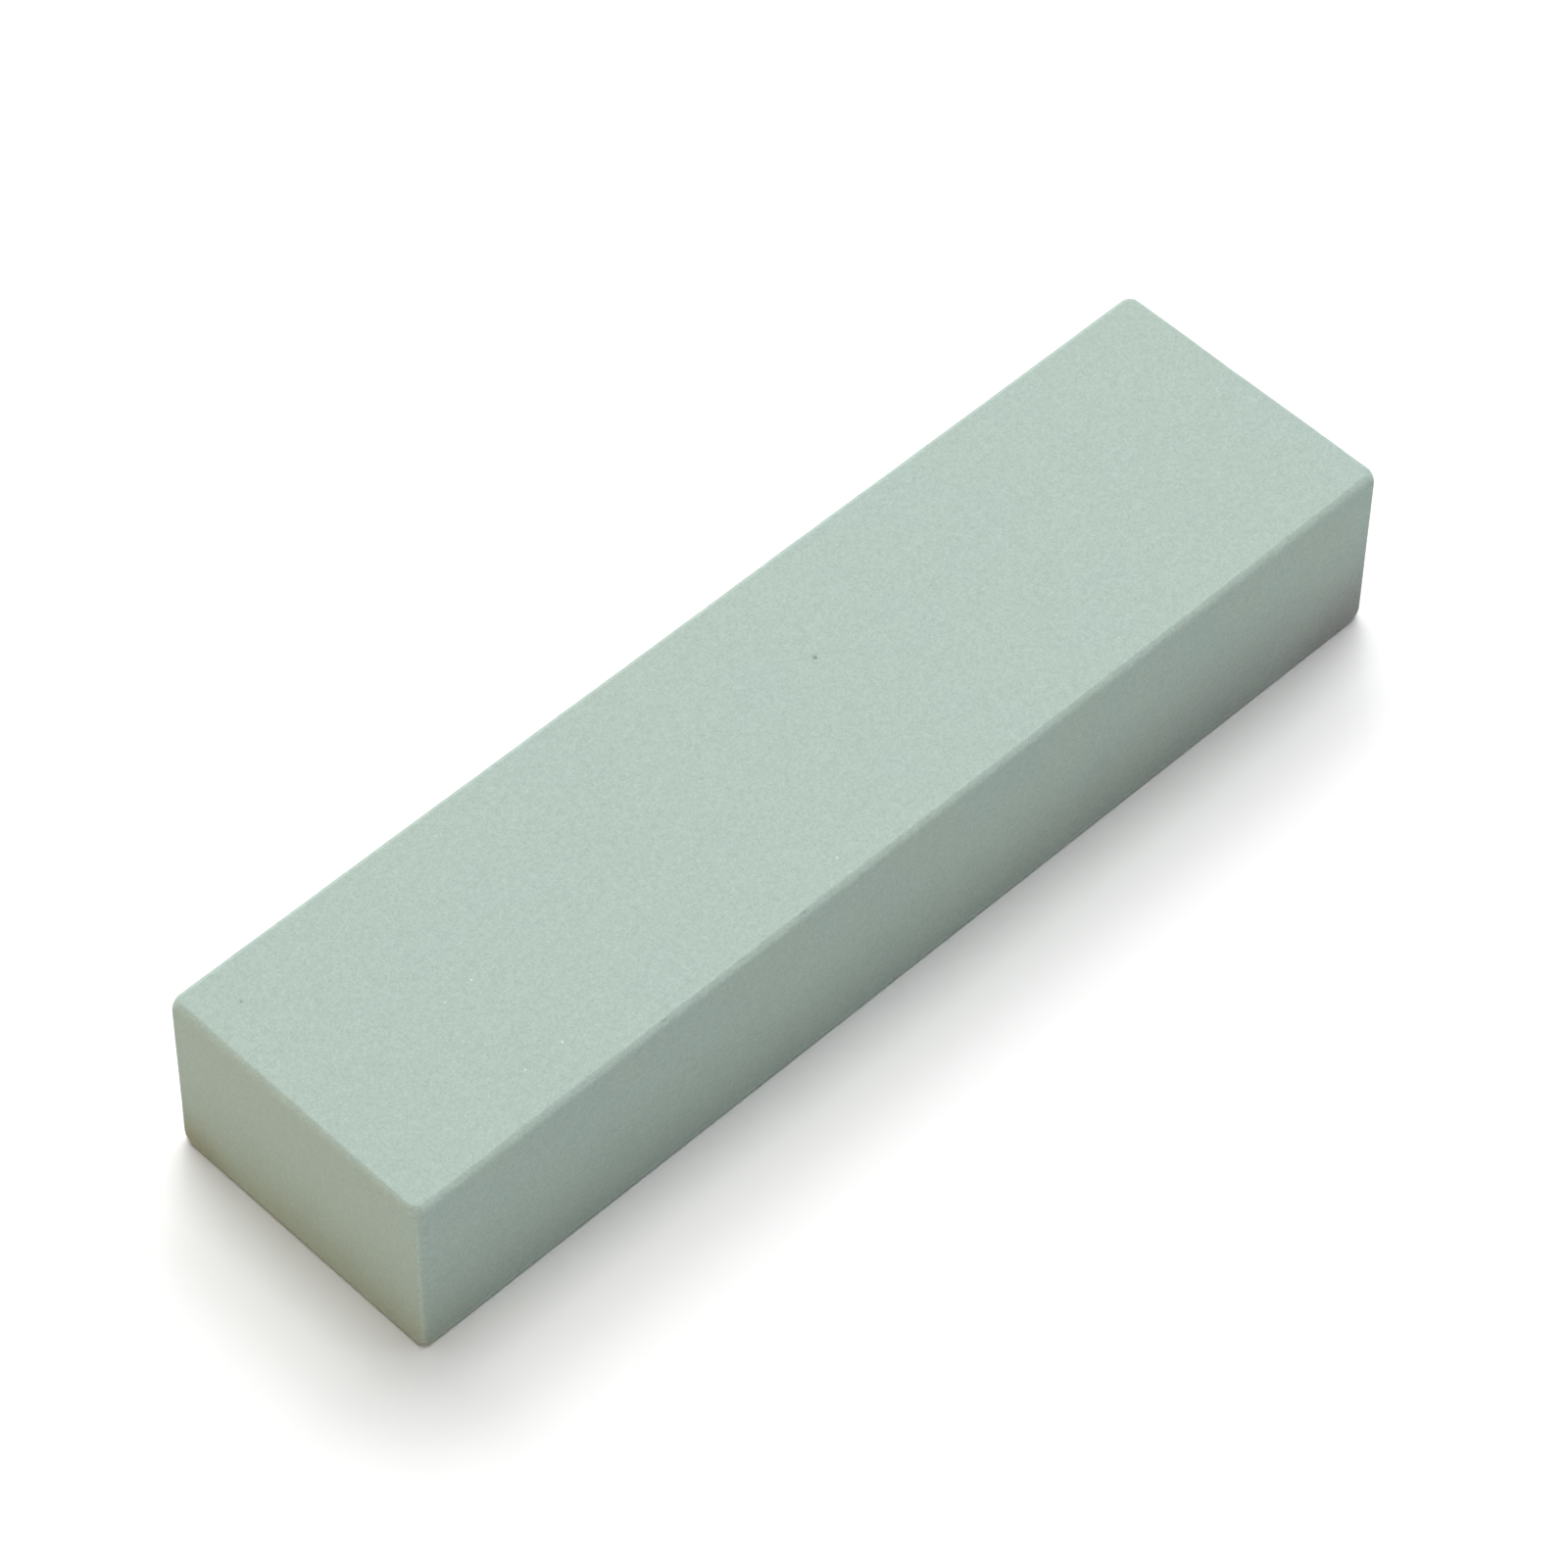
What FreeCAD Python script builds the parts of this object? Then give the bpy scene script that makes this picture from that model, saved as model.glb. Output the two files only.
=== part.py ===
import FreeCAD, Part
import os

# A bench whetstone: one solid block of fired abrasive that lies flat on the bench.
# Millimetres. The origin is the centre of the underside; +X runs along the stone,
# +Y across it and +Z up to the working face.

LENGTH = 150.0
WIDTH = 39.5
HEIGHT = 25.5
CORNER_RADIUS = 0.8     # the four upright corners are rubbed round
ARRIS_CHAMFER = 0.6     # 45 degree bevel along every edge of the top and bottom faces

FLATNESS = 1e-6         # how closely an edge must lie in a plane to count as part of it


def raw_block():
    """The pressed block before its edges are eased, standing on Z = 0."""
    corner = FreeCAD.Vector(-LENGTH / 2, -WIDTH / 2, 0)
    return Part.makeBox(LENGTH, WIDTH, HEIGHT, corner)


def upright_edges(block):
    """The four edges that run from the underside to the working face."""
    return [edge for edge in block.Edges if edge.BoundBox.ZLength > HEIGHT - FLATNESS]


def rim_edges(block):
    """Every edge that lies in the working face or in the underside."""
    in_plane = [edge for edge in block.Edges if edge.BoundBox.ZLength < FLATNESS]
    levels = (0.0, HEIGHT)
    return [edge for edge in in_plane
            if any(abs(edge.BoundBox.ZMin - level) < FLATNESS for level in levels)]


def stone():
    """The finished stone: corners rounded first, then both faces bevelled all round."""
    block = raw_block()
    block = block.makeFillet(CORNER_RADIUS, upright_edges(block))
    return block.makeChamfer(ARRIS_CHAMFER, rim_edges(block))


os.makedirs("parts", exist_ok=True)
stone().exportStep("parts/stone.step")
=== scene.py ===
import itertools
import math

import bmesh
import bpy
import numpy as np
from mathutils import Matrix, Vector, noise


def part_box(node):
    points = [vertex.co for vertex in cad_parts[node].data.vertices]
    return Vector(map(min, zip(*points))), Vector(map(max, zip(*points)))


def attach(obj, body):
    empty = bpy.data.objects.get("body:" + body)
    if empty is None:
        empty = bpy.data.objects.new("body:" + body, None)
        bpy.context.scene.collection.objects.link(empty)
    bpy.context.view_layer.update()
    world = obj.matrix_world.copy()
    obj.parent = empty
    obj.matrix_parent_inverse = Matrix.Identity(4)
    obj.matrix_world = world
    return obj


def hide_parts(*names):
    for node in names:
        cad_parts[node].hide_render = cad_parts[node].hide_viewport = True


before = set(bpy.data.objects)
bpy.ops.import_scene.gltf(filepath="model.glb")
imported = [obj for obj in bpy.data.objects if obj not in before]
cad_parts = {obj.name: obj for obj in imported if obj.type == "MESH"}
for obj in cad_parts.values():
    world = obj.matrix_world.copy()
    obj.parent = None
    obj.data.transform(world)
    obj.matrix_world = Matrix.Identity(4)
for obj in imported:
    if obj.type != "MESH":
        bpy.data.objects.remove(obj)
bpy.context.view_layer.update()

# Lengths are in metres, in the row's frame: +X along the stone, +Y across it, +Z up.
MM = 0.001
TINY = 1e-12                    # keeps a division by a length from failing at zero
LOW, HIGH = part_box("stone")
CENTRE = np.array((LOW + HIGH) / 2)
SIZE = np.array(HIGH - LOW)
HALF = SIZE / 2


# ---------------------------------------------------------------- the stone's shape

CORNER_RADIUS = 0.8 * MM        # upright corners, rubbed round
BEVEL = 0.68 * MM               # bevel legs along the edges of the top and bottom faces
BEVEL_FLOOR = 0.3 * BEVEL       # the narrowest that an uneven bevel gets
BEVEL_LIMIT = 0.78 * MM         # the widest: it stays inside the corner radius
BEVEL_WAVES = ((0.10, 9.0 * MM, 3.1), (0.07, 1.7 * MM, 8.4))    # share, lump size, noise shift
CORNER_NORM = 1.7               # the curve of the upright corners and of the bevels:
BEVEL_NORM = 1.20               # 1 would be dead flat, 2 a quarter round
LEFT_END_TAPER = (0.70, 1.12)   # the left end's top bevel widens from front to back
FACE_WAVES = ((0.020 * MM, 16 * MM, 1.9), (0.008 * MM, 2.2 * MM, 6.3))  # height, size, shift

# Each tip is worn to a ball, further in at these: signs along X, Y and Z.
WORN_TIPS = ((-1, 1, -1), (1, -1, -1), (-1, 1, 1), (1, -1, 1))
TIP_ZONE, WORN_TIP_ZONE = 1.6 * MM, 2.0 * MM
EDGE_RETREAT = 0.26 * MM        # how far in from the sharp box a worn arris lies, at least

# The rubbed strip along the arrises reaches this much
RIM_WEAR = 0.20 * MM            # further down from the rims,
END_WEAR = 0.75 * MM            # less far in from the two ends,
UPRIGHT_WEAR = 0.42 * MM        # and less far round the upright corners

# Rows of the mesh counted inwards from each edge, then an even step over the faces.
RIM_ROWS = np.array((0, .1, .2, .3, .4, .5, .6, .72, .86, 1.05, 1.35, 1.8, 2.5, 3.4)) * MM
STEP_ALONG = 0.5 * MM
STEP_ACROSS = 1.0 * MM


def grid_lines(half, step):
    """Mesh rows from -half to half: close together at both rims, even between them."""
    rim = half - RIM_ROWS[:-1]
    inner = half - RIM_ROWS[-1]
    middle = np.linspace(-inner, inner, round(2 * inner / step) + 1)
    return np.concatenate((-rim, middle, rim[::-1]))


def quads(sheet, flip):
    """The quads of one face, from its two-way table of vertex numbers."""
    corners = (sheet[:-1, :-1], sheet[1:, :-1], sheet[1:, 1:], sheet[:-1, 1:])
    return np.stack(corners[::-1] if flip else corners, -1).reshape(-1, 4)


def box_shell(xs, ys, zs):
    """A sharp box's surface on those grid lines: points, and quads that share every rim."""
    grid = np.stack(np.meshgrid(xs, ys, zs, indexing="ij"), -1)
    skin = np.ones(grid.shape[:3], bool)
    skin[1:-1, 1:-1, 1:-1] = False
    number = np.full(skin.shape, -1)
    number[skin] = np.arange(skin.sum())
    faces = (
        quads(number[:, :, -1], False), quads(number[:, :, 0], True),
        quads(number[:, 0, :], False), quads(number[:, -1, :], True),
        quads(number[-1, :, :], False), quads(number[0, :, :], True),
    )
    return grid[skin], np.concatenate(faces)


def wobble(points, size, shift):
    """Smooth noise from -1 to 1 at each point, in lumps of about that size."""
    offset = Vector((shift, shift * 0.7, -shift * 1.3))
    return np.array([noise.noise(Vector(p) / size + offset) for p in points])


def waves(points, layers):
    """Several layers of noise together, each with its height, lump size and shift."""
    return sum(height * wobble(points, size, shift) for height, size, shift in layers)


def bevel_leg(rim):
    """The bevel's leg at each rim point: a little uneven, and tapered on the left end's top."""
    leg = BEVEL * (1 + waves(rim, BEVEL_WAVES))
    taper = np.interp(rim[:, 1], (-HALF[1], HALF[1]), LEFT_END_TAPER)
    left_end_top = (rim[:, 0] < -HALF[0] + CORNER_RADIUS / 2) & (rim[:, 2] > 0)
    return np.clip(leg * np.where(left_end_top, taper, 1), BEVEL_FLOOR, BEVEL_LIMIT)


def eased(points):
    """Moves a sharp box's surface points onto rounded upright corners and bevelled rims."""
    points = points.copy()
    flat = HALF[:2] - CORNER_RADIUS
    core = np.clip(points[:, :2], -flat, flat)
    past = points[:, :2] - core
    reach = np.abs(past).max(1)
    length = (np.abs(past) ** CORNER_NORM).sum(1) ** (1 / CORNER_NORM)
    normal = past / np.maximum(length, TINY)[:, None]
    points[:, :2] = core + normal * reach[:, None]

    # In each rim's own section: inset in from the side face, depth in from top or bottom.
    inset = CORNER_RADIUS - reach
    depth = HALF[2] - np.abs(points[:, 2])
    near = (inset < BEVEL_LIMIT) & (depth < BEVEL_LIMIT)
    inset, depth, normal = inset[near], depth[near], normal[near]
    upward = np.sign(points[near, 2])
    leg = bevel_leg(np.column_stack((core[near] + normal * CORNER_RADIUS, upward * HALF[2])))
    across = np.maximum(leg - inset, 0)
    down = np.maximum(leg - depth, 0)
    cut = (across > 0) & (down > 0)
    norm = (across ** BEVEL_NORM + down ** BEVEL_NORM) ** (1 / BEVEL_NORM)
    pull = leg / np.maximum(norm, TINY)
    points[near, :2] -= normal * (cut * (leg - across * pull - inset))[:, None]
    points[near, 2] -= upward * cut * (leg - down * pull - depth)
    return points


def knocked(points):
    """Wears the eight tips, where three edges meet, down to balls."""
    for signs in itertools.product((-1, 1), repeat=3):
        zone = WORN_TIP_ZONE if signs in WORN_TIPS else TIP_ZONE
        radius = math.sqrt(2) * (zone - EDGE_RETREAT)   # just clear of the three arrises
        past = points * signs - (HALF - zone)
        distance = np.linalg.norm(past, axis=1)
        over = (past > 0).all(1) & (distance > radius)
        points[over] += (past * (radius / distance - 1)[:, None] * signs)[over]
    return points


def outward(points):
    """The direction straight out of the stone at each surface point."""
    core = np.clip(points, CORNER_RADIUS - HALF, HALF - CORNER_RADIUS)
    past = points - core
    return past / np.maximum(np.linalg.norm(past, axis=1), TINY)[:, None]


# ---------------------------------------------------------------- pits and chips

# Pores that the working face shows: share of the length, share of the width, radius.
FACE_PITS = (
    (0.558, 0.639, 0.34 * MM), (0.036, 0.853, 0.24 * MM), (0.416, 0.542, 0.17 * MM),
    (0.570, 0.448, 0.15 * MM), (0.035, 0.923, 0.13 * MM), (0.316, 0.141, 0.12 * MM),
)
OTHER_PITS = 16
OTHER_PIT_RADII = (0.10, 0.22)      # mm, smallest and largest
OTHER_PIT_SHARES = (0.06, 0.94)     # the part of each face that they may lie in
PIT_DEPTH = 1.1                     # as a share of the radius
PIT_MARGIN, PIT_CUTS = 0.45 * MM, 5     # the mesh round each pit is split this finely
CHIPS = 16
CHIP_RADII = (0.25, 0.5)            # mm
CHIP_DEPTHS = (0.15, 0.3)           # as shares of the radius
CHIP_END_GAP = 2 * MM               # chips keep this far from the tips
CHIP_MARGIN, CHIP_CUTS = 0.3 * MM, 1
PIT_SEED, CHIP_SEED = 20, 5
RAGGEDNESS, RAGGED_LUMP, RAGGED_SHIFT = 0.35, 0.7, 5.5      # of each hollow's outline
RAGGED_REACH = 1.5                  # no outline strays past this many radii
BOWL_POWER = 1.5                    # how softly a hollow runs out into the face


def face_place(axis, side, shares):
    """A point on a flat face and its normal: axis and side name the face."""
    within = (np.array(shares) * 2 - 1) * np.delete(HALF, axis)
    return np.insert(within, axis, side * HALF[axis]), np.eye(3)[axis] * side


def edge_place(axis, sides, share):
    """A point on the worn arris that runs along an axis, and the direction out of it."""
    ease = CORNER_RADIUS * (1 - math.sqrt(0.5)) if axis == 2 else BEVEL / 2
    place = np.insert(np.array(sides) * (np.delete(HALF, axis) - ease), axis,
                      (2 * share - 1) * (HALF[axis] - CHIP_END_GAP))
    way = np.insert(np.array(sides, float), axis, 0)
    return place, way / np.linalg.norm(way)


def pits():
    """Every pore, as centre, direction out, radius and depth."""
    rng = np.random.default_rng(PIT_SEED)
    found = [(*face_place(2, 1, (x, y)), radius) for x, y, radius in FACE_PITS]
    areas = np.array([HALF.prod() / h for h in HALF])
    for _ in range(OTHER_PITS):
        axis = rng.choice(3, p=areas / areas.sum())
        side = -1 if axis == 2 else rng.choice((-1, 1))
        found.append((*face_place(axis, side, rng.uniform(*OTHER_PIT_SHARES, 2)),
                      rng.uniform(*OTHER_PIT_RADII) * MM))
    return [(place, way, radius, radius * PIT_DEPTH) for place, way, radius in found]


def chips():
    """Small knocks on the arrises, as centre, direction out, radius and depth."""
    rng = np.random.default_rng(CHIP_SEED)
    found = []
    for _ in range(CHIPS):
        axis = rng.choice(3, p=SIZE / SIZE.sum())
        place, way = edge_place(axis, rng.choice((-1, 1), 2), rng.uniform())
        radius = rng.uniform(*CHIP_RADII) * MM
        found.append((place, way, radius, radius * rng.uniform(*CHIP_DEPTHS)))
    return found


def refine(bm, hollows, margin, cuts):
    """Splits the faces round each hollow, so that it has enough points for its shape."""
    centres = np.array([face.calc_center_median() for face in bm.faces])
    hit = np.zeros(len(centres), bool)
    for place, _, radius, _ in hollows:
        hit |= np.linalg.norm(centres - place, axis=1) < radius + margin
    edges = dict.fromkeys(edge for face, inside in zip(bm.faces, hit) if inside
                          for edge in face.edges)
    bmesh.ops.subdivide_edges(bm, edges=list(edges), cuts=cuts, use_grid_fill=True)


def sunk(points, hollows):
    """Presses each hollow into the surface as an uneven bowl."""
    for place, way, radius, depth in hollows:
        distance = np.linalg.norm(points - place, axis=1) / radius
        close = distance < RAGGED_REACH
        outline = wobble(points[close], radius * RAGGED_LUMP, RAGGED_SHIFT)
        ragged = distance[close] * (1 + RAGGEDNESS * outline)
        bowl = np.clip(1 - ragged ** 2, 0, 1) ** BOWL_POWER
        points[close] -= way * (depth * bowl)[:, None]
    return points


def unevenness(points):
    """How far the hand-flattened faces stand in or out of true at each point."""
    return waves(points, FACE_WAVES)


def edge_distance(points):
    """How far each point lies from the nearest edge, less the width its wear adds."""
    along, across, up = (HALF - np.abs(points)).T
    rim = np.maximum(up - RIM_WEAR, np.minimum(along + END_WEAR, across))
    upright = np.maximum(along, across) + UPRIGHT_WEAR
    return np.minimum(rim, upright)


def stone_mesh():
    """The whole stone as one closed mesh."""
    lines = [grid_lines(HALF[0], STEP_ALONG), grid_lines(HALF[1], STEP_ACROSS),
             grid_lines(HALF[2], STEP_ACROSS)]
    points, faces = box_shell(*lines)
    mesh = bpy.data.meshes.new("whetstone_block")
    mesh.from_pydata(knocked(eased(points)), [], faces.tolist())

    pores, knocks = pits(), chips()
    bm = bmesh.new()
    bm.from_mesh(mesh)
    refine(bm, knocks, CHIP_MARGIN, CHIP_CUTS)
    refine(bm, pores, PIT_MARGIN, PIT_CUTS)
    # A face next to a split one has extra points on a straight edge, so it is cut up.
    bmesh.ops.triangulate(bm, faces=[face for face in bm.faces if len(face.verts) > 4])
    bm.to_mesh(mesh)
    bm.free()

    points = np.empty(len(mesh.vertices) * 3)
    mesh.vertices.foreach_get("co", points)
    points = points.reshape(-1, 3)
    distance = mesh.attributes.new("edge_distance", "FLOAT", "POINT")
    distance.data.foreach_set("value", np.clip(edge_distance(points), 0, None) / MM)
    points += outward(points) * unevenness(points)[:, None]
    points = sunk(points, pores + knocks) + CENTRE
    mesh.vertices.foreach_set("co", points.ravel())
    mesh.polygons.foreach_set("use_smooth", np.ones(len(mesh.polygons), bool))
    mesh.update()
    return mesh


# ---------------------------------------------------------------- the stone's material

# Linear colours of the body, which drifts between the two from place to place.
BODY_COOL = (0.369, 0.457, 0.411)
BODY_WARM = (0.375, 0.459, 0.407)
PAINTED_SHADE_TINT = (0.905, 0.885, 0.87)    # painted shade: the sides darker and a little warmer towards the floor
PAINTED_SHADE_TOP, PAINTED_SHADE_FULL = 18 * MM, 2 * MM     # heights where it starts and is full
PAINTED_SHADE_RAGGED = 6 * MM               # how much its upper limit wanders
PAINTED_SHADE_EDGE = (0.2, 1.2)             # mm from an arris: none at the first, full at the second
WEAR_LIFT = 0.095                   # rubbed arrises are paler than the faces
WEAR_EDGE = (0.95, 0.6)             # mm from an arris: none at the first, full at the second
WEAR_BROKEN = 0.25                  # how much the clumps break the worn strip up

# The grain: sizes of its lumps, and how much each makes the tone swing.
GRIT, CLUMP, MOTTLE, CLOUD = 0.26 * MM, 0.85 * MM, 2.6 * MM, 14 * MM
GRIT_SWING, CLUMP_SWING, MOTTLE_SWING = 0.225, 0.08, 0.016
CLOUD_EDGES = (0.35, 0.65)          # the clouds' values at the cool and the warm colour
OFF_GRID = (0.13 * MM, 0.07 * MM, 0.11 * MM)    # noise is flat where a face meets its grid

# Tinted patches low on the block, partly painted shade: centre (shares of the block), radii in
# mm, tint at the centre. The first two make the long side darker and pinker low down, most at
# its right end.
LOW_TINTS_AND_PAINTED_SHADE = (
    ((0.90, 0.0, 0.12), (72, 30, 17), (0.92, 0.86, 0.89)),
    ((1.0, 0.0, 0.0), (18, 20, 12), (0.78, 0.70, 0.73)),
    # The last three paint the left end's foot warmer, darker at its corners: painted shade and
    # painted warm bounce light.
    ((0.0, 1.0, 0.0), (20, 12, 9), (0.74, 0.66, 0.54)),
    ((0.0, 0.0, 0.0), (12, 12, 7), (0.96, 0.93, 0.92)),
    ((0.0, 0.5, 0.0), (10, 45, 12), (1.04, 1.01, 0.93)),
)
# Bright crystals on the working face: share of the length, share of the width, radius.
CRYSTALS = (
    (0.177, 0.147, 0.26 * MM), (0.168, 0.473, 0.21 * MM), (0.141, 0.148, 0.17 * MM),
    (0.141, 0.467, 0.15 * MM), (0.239, 0.911, 0.13 * MM), (0.127, 0.334, 0.12 * MM),
    (0.736, 0.090, 0.13 * MM),
)
CRYSTAL_LIFT = 0.42
# Scattered specks: spacing, share of the places that hold one, largest radius.
PALE_SPECKS = (2.4 * MM, 0.1, 0.16 * MM)
DARK_SPECKS = (3.3 * MM, 0.1, 0.15 * MM)
DARK_DROP = -0.25

ROUGHNESS, GRIT_ROUGHNESS = 0.82, 0.14
WORN_SMOOTHER, CRYSTAL_SMOOTHER = 0.06, 0.3
STONE_SPECULAR = 0.3
CLUMP_RELIEF = 0.8                  # the clumps' height against the grit's
BUMP_STRENGTH, BUMP_HEIGHT = 0.5, 0.05 * MM


class Nodes:
    """A material's node tree, with one short call per node."""

    def __init__(self, name):
        self.material = bpy.data.materials.new(name)
        self.material.use_nodes = True
        self.tree = self.material.node_tree
        self.surface = self.tree.nodes["Principled BSDF"]

    def add(self, kind, inputs=(), output=0, **settings):
        """Adds a node. An input is a value, or another node's output to link."""
        node = self.tree.nodes.new("ShaderNode" + kind)
        for name, value in settings.items():
            setattr(node, name, value)
        for key, value in dict(inputs).items():
            self.feed(node.inputs[key], value)
        return node.outputs[output]

    def feed(self, socket, value):
        if isinstance(value, bpy.types.NodeSocket):
            self.tree.links.new(value, socket)
        else:
            socket.default_value = value

    def maths(self, operation, *values, clamp=False):
        return self.add("Math", enumerate(values), operation=operation, use_clamp=clamp)

    def product(self, *values):
        total = values[0]
        for value in values[1:]:
            total = self.maths("MULTIPLY", total, value)
        return total

    def noise(self, place, size, detail=2.0):
        """Noise from 0 to 1, in lumps of about that size."""
        return self.add("TexNoise", {"Vector": place, "Scale": 1 / size, "Detail": detail})

    def swing(self, value, amount):
        """1 plus or minus amount, as the value goes from 0 to 1."""
        return self.maths("MULTIPLY_ADD", value, 2 * amount, 1 - amount)

    def ramp(self, value, start, end, low=0.0, high=1.0):
        """Eases from low to high as the value goes from start to end."""
        return self.add("MapRange", {"Value": value, "From Min": start, "From Max": end,
                                     "To Min": low, "To Max": high},
                        interpolation_type="SMOOTHSTEP")

    def mix(self, share, first, second, blend="MIX"):
        """Blends two colours; share is 0 for the first and 1 for the second."""
        node = self.tree.nodes.new("ShaderNodeMix")
        node.data_type, node.blend_type = "RGBA", blend
        for key, value in ((0, share), (6, first), (7, second)):
            self.feed(node.inputs[key], value)
        return node.outputs[2]

    def specks(self, place, spacing, share, radius):
        """Sparse round specks: that share of the cells holds one, up to that radius."""
        cell = self.add("TexVoronoi", {"Vector": place, "Scale": 1 / spacing})
        node = cell.node
        pick = self.add("SeparateColor", {0: node.outputs["Color"]})
        reach = self.ramp(pick, 1 - share, 1, 0, radius / spacing)
        inside = self.maths("SUBTRACT", reach, node.outputs["Distance"])
        return self.maths("MULTIPLY", inside, 2 * spacing / radius, clamp=True)


def rgba(colour):
    return (*colour, 1.0)


def named_crystals(n, place):
    """The brighter crystals of the working face, each at its own place."""
    total = 0.0
    for along, across, radius in CRYSTALS:
        spot, _ = face_place(2, 1, (along, across))
        gap = n.add("VectorMath", {0: place, 1: tuple(spot + CENTRE)}, output=1,
                    operation="DISTANCE")
        total = n.maths("MAXIMUM", total, n.ramp(gap, radius, radius * 0.4))
    return total


def tint_patch(n, place, centre, radii):
    """A soft-edged ellipsoid: 1 at its centre, 0 at its surface."""
    centre = CENTRE + SIZE * (np.array(centre) - 0.5)
    away_by = n.add("VectorMath", {0: place, 1: tuple(centre)}, operation="SUBTRACT")
    scaled = n.add("VectorMath", {0: away_by, 1: tuple(1 / (np.array(radii) * MM))},
                   operation="MULTIPLY")
    return n.ramp(n.add("VectorMath", {0: scaled}, output=1, operation="LENGTH"), 1, 0)


def stone_material():
    n = Nodes("fired_abrasive_stone")
    place = n.add("TexCoord", output=3)
    grain = n.add("VectorMath", {0: place, 1: OFF_GRID}, operation="ADD")
    edge = n.add("Attribute", output=2, attribute_name="edge_distance")
    height = n.add("SeparateXYZ", {0: place}, output=2)

    grit = n.noise(grain, GRIT, 2.0)
    clumps = n.noise(grain, CLUMP, 2.0)
    mottle = n.noise(grain, MOTTLE, 2.0)
    clouds = n.noise(grain, CLOUD, 3.0)
    pale = n.maths("MAXIMUM", named_crystals(n, place), n.specks(place, *PALE_SPECKS))
    dark = n.specks(place, *DARK_SPECKS)

    # Rubbed arrises, a little broken up.
    rubbed = n.product(n.ramp(edge, *WEAR_EDGE), n.swing(clumps, WEAR_BROKEN))
    # Painted shade low on the sides, darker and warmer towards the floor, with a ragged upper
    # limit.
    wander = n.maths("MULTIPLY", n.maths("SUBTRACT", clouds, 0.5), PAINTED_SHADE_RAGGED)
    low = n.maths("ADD", height, wander)
    painted_shade = n.product(n.ramp(low, PAINTED_SHADE_TOP, PAINTED_SHADE_FULL), n.ramp(edge, *PAINTED_SHADE_EDGE))

    tone = n.product(n.swing(grit, GRIT_SWING), n.swing(clumps, CLUMP_SWING),
                     n.swing(mottle, MOTTLE_SWING),
                     n.maths("MULTIPLY_ADD", rubbed, WEAR_LIFT, 1),
                     n.maths("MULTIPLY_ADD", pale, CRYSTAL_LIFT, 1),
                     n.maths("MULTIPLY_ADD", dark, DARK_DROP, 1))
    body = n.mix(n.ramp(clouds, *CLOUD_EDGES), rgba(BODY_COOL), rgba(BODY_WARM))
    # Multiplies the painted shade into the body colour.
    body = n.mix(painted_shade, body, n.mix(1.0, body, rgba(PAINTED_SHADE_TINT), "MULTIPLY"))
    # Each patch tints the body; on the left end's foot this is painted shade and painted warm
    # light.
    for centre, radii, tint in LOW_TINTS_AND_PAINTED_SHADE:
        patch_tinted = n.mix(1.0, body, rgba(tint), "MULTIPLY")
        body = n.mix(tint_patch(n, place, centre, radii), body, patch_tinted)
    n.feed(n.surface.inputs["Base Color"], n.mix(1.0, body, tone, "MULTIPLY"))

    rough = n.maths("MULTIPLY_ADD", grit, GRIT_ROUGHNESS, ROUGHNESS)
    rough = n.maths("SUBTRACT", rough, n.product(rubbed, WORN_SMOOTHER))
    rough = n.maths("SUBTRACT", rough, n.product(pale, CRYSTAL_SMOOTHER))
    n.feed(n.surface.inputs["Roughness"], rough)
    n.feed(n.surface.inputs["Specular IOR Level"], STONE_SPECULAR)
    relief = n.maths("ADD", grit, n.maths("MULTIPLY", clumps, CLUMP_RELIEF))
    bump = n.add("Bump", {"Strength": BUMP_STRENGTH, "Distance": BUMP_HEIGHT,
                          "Height": relief})
    n.feed(n.surface.inputs["Normal"], bump)
    return n.material


# ---------------------------------------------------------------- the set

CAMERA_AZIMUTH, CAMERA_ELEVATION = math.radians(-45.16), math.radians(51.06)
CAMERA_ROLL = math.radians(0.865)
CAMERA_DISTANCE = 0.7301
CAMERA_LENS = 148.61                # mm, on a 36 mm sensor
CAMERA_CLIP = (0.01, 50)
AIM = Vector(CENTRE) + Vector((0.18, 1.57, 1.0)) * MM     # a little off the stone's centre

KEY_WHITE = (1.0, 1.0, 1.01)
GLOW_WHITE = (0.94, 1.0, 1.03)
WARM_WHITE = (1.0, 0.53, 0.01)
# Name, azimuth and elevation in degrees, distance, side of the square, power, colour.
SOFTBOXES = (
    ("overhead", 0, 90, 2.5, 1.4, 32.4, KEY_WHITE),
    ("back_left", 155, 52, 2.5, 1.4, 27.6, KEY_WHITE),
    ("back_right", 115, 52, 2.5, 1.4, 23.8, KEY_WHITE),
    ("warm_fill", -90, 12, 1.5, 0.5, 3.2, WARM_WHITE),
)
GLOW = 0.515                    # how bright the world is round the horizon
GLOW_FADE = (0.454, 0.694)      # it fades out between these upward parts of the direction

FLOOR_COLOUR = (0.94, 0.94, 0.94)
FLOOR_ROUGHNESS, FLOOR_SPECULAR = 0.9, 0.1
FLOOR_REACH = 6.0               # metres from the origin to each side


def away(azimuth, elevation):
    """The direction from the stone at that bearing; azimuth 0 is in front, at -Y."""
    return Vector((math.sin(azimuth) * math.cos(elevation),
                   -math.cos(azimuth) * math.cos(elevation), math.sin(elevation)))


def add_object(name, data):
    made = bpy.data.objects.new(name, data)
    bpy.context.scene.collection.objects.link(made)
    return made


def aim(made, place, target, roll=0.0):
    """Stands an object at a place with its -Z axis on the target."""
    turn = (target - place).to_track_quat("-Z", "Y").to_matrix().to_4x4()
    made.matrix_world = Matrix.Translation(place) @ turn @ Matrix.Rotation(roll, 4, "Z")


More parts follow.
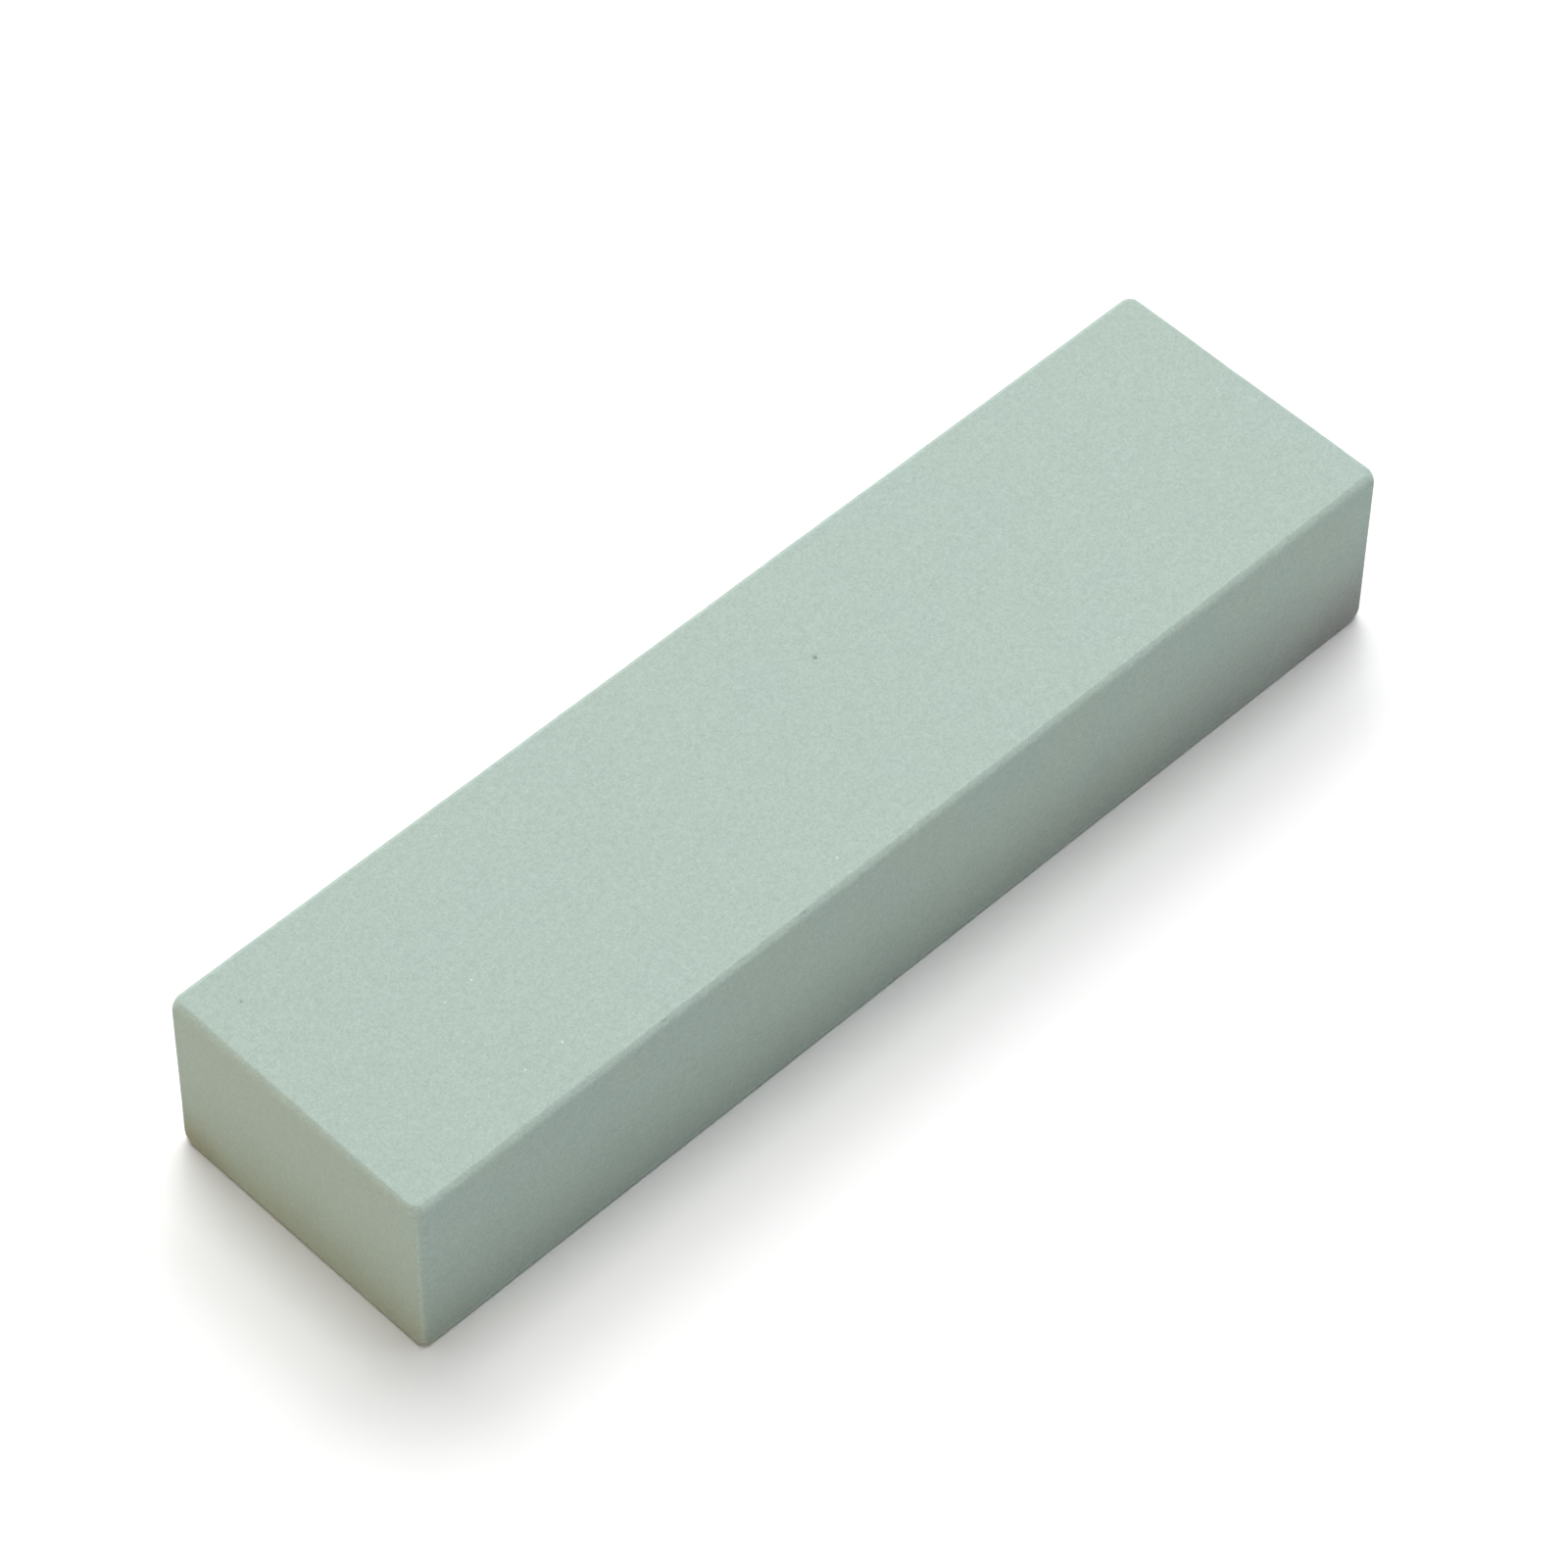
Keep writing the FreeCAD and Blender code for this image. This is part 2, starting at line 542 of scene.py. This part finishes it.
def add_camera():
    data = bpy.data.cameras.new("camera")
    data.lens = CAMERA_LENS
    data.clip_start, data.clip_end = CAMERA_CLIP
    camera = add_object("camera", data)
    place = AIM + away(CAMERA_AZIMUTH, CAMERA_ELEVATION) * CAMERA_DISTANCE
    aim(camera, place, AIM, CAMERA_ROLL)
    bpy.context.scene.camera = camera


def add_softbox(name, azimuth, elevation, distance, side, power, colour):
    data = bpy.data.lights.new(name, "AREA")
    data.shape = "SQUARE"
    data.size = side
    data.energy = power
    data.color = colour
    light = add_object(name, data)
    way = away(math.radians(azimuth), math.radians(elevation))
    aim(light, way * distance, Vector(CENTRE))
    light.visible_camera = False


def add_floor():
    n = Nodes("pale_floor")
    n.feed(n.surface.inputs["Base Color"], rgba(FLOOR_COLOUR))
    n.feed(n.surface.inputs["Roughness"], FLOOR_ROUGHNESS)
    n.feed(n.surface.inputs["Specular IOR Level"], FLOOR_SPECULAR)
    mesh = bpy.data.meshes.new("floor")
    corners = [(x * FLOOR_REACH, y * FLOOR_REACH, 0)
               for x, y in ((-1, -1), (1, -1), (1, 1), (-1, 1))]
    mesh.from_pydata(corners, [], [(0, 1, 2, 3)])
    mesh.materials.append(n.material)
    floor = add_object("floor", mesh)
    floor.location.z = LOW.z


def add_world():
    """A pale glow all round the horizon that fades out overhead."""
    world = bpy.data.worlds.new("studio")
    world.use_nodes = True
    tree = world.node_tree
    background = tree.nodes["Background"]
    place = tree.nodes.new("ShaderNodeTexCoord")
    parts = tree.nodes.new("ShaderNodeSeparateXYZ")
    fade = tree.nodes.new("ShaderNodeMapRange")
    fade.interpolation_type = "SMOOTHSTEP"
    limits = dict(zip(("From Min", "From Max", "To Min", "To Max"), GLOW_FADE + (GLOW, 0)))
    for key, value in limits.items():
        fade.inputs[key].default_value = value
    tree.links.new(place.outputs["Generated"], parts.inputs[0])
    tree.links.new(parts.outputs["Z"], fade.inputs["Value"])
    tree.links.new(fade.outputs["Result"], background.inputs["Strength"])
    background.inputs["Color"].default_value = rgba(GLOW_WHITE)
    bpy.context.scene.world = world


stone = add_object("whetstone_block", stone_mesh())
stone.data.materials.append(stone_material())
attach(stone, "root")
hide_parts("stone")

add_floor()
add_world()
for softbox in SOFTBOXES:
    add_softbox(*softbox)
add_camera()
bpy.context.scene.view_settings.view_transform = "Standard"
